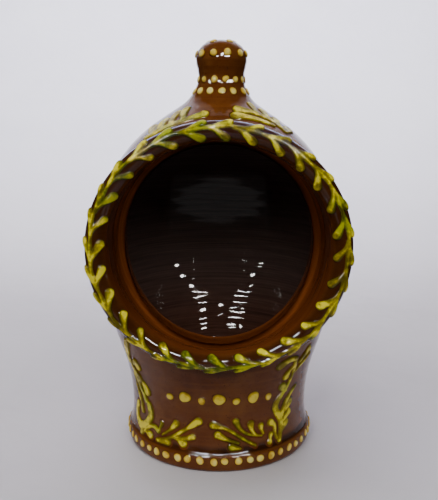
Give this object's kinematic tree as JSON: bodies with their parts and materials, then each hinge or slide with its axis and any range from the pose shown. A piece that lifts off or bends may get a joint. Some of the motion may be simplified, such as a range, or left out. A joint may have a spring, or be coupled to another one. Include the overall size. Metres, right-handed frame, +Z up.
{
  "type": "salt pig",
  "caption": "Glazed slipware salt pig: domed jar with a solid knob and a wide round mouth in a flared collar facing forward, trailed with a leaf garland and dots.",
  "frame": {"origin": "centre of the flat base, on the turning axis", "axes": "+Z up along the turning axis, -Y towards the mouth, +X to the viewer's right when facing the mouth"},
  "size_m": [0.137, 0.1504, 0.23],
  "materials": {
    "brown_glaze": "glossy dark brown lead-type glaze over red clay, faint iron speckle",
    "red_brown_glaze": "glossy red-brown glaze, orange-brown where it thins in the throat",
    "cream_slip": "raised cream slip under a honey glaze",
    "green_slip": "raised yellow slip stained green with copper, glossy"
  },
  "bodies": {
    "root": {"body": "brown_glaze", "mouth_collar": "red_brown_glaze", "knob": "brown_glaze", "foot_dots": "cream_slip", "knob_crown_dots": "cream_slip", "knob_waist_dots": "cream_slip", "knob_neck_dots": "cream_slip", "rim_vine_stem": "green_slip", "rim_leaves_inner": "green_slip", "rim_leaves_outer": "green_slip", "front_spray_left": "green_slip", "front_spray_right": "green_slip", "side_branch_left": "green_slip", "side_branch_right": "green_slip", "dome_spray_left": "green_slip", "dome_spray_right": "green_slip", "panel_dots": "cream_slip"}
  },
  "joints": []
}
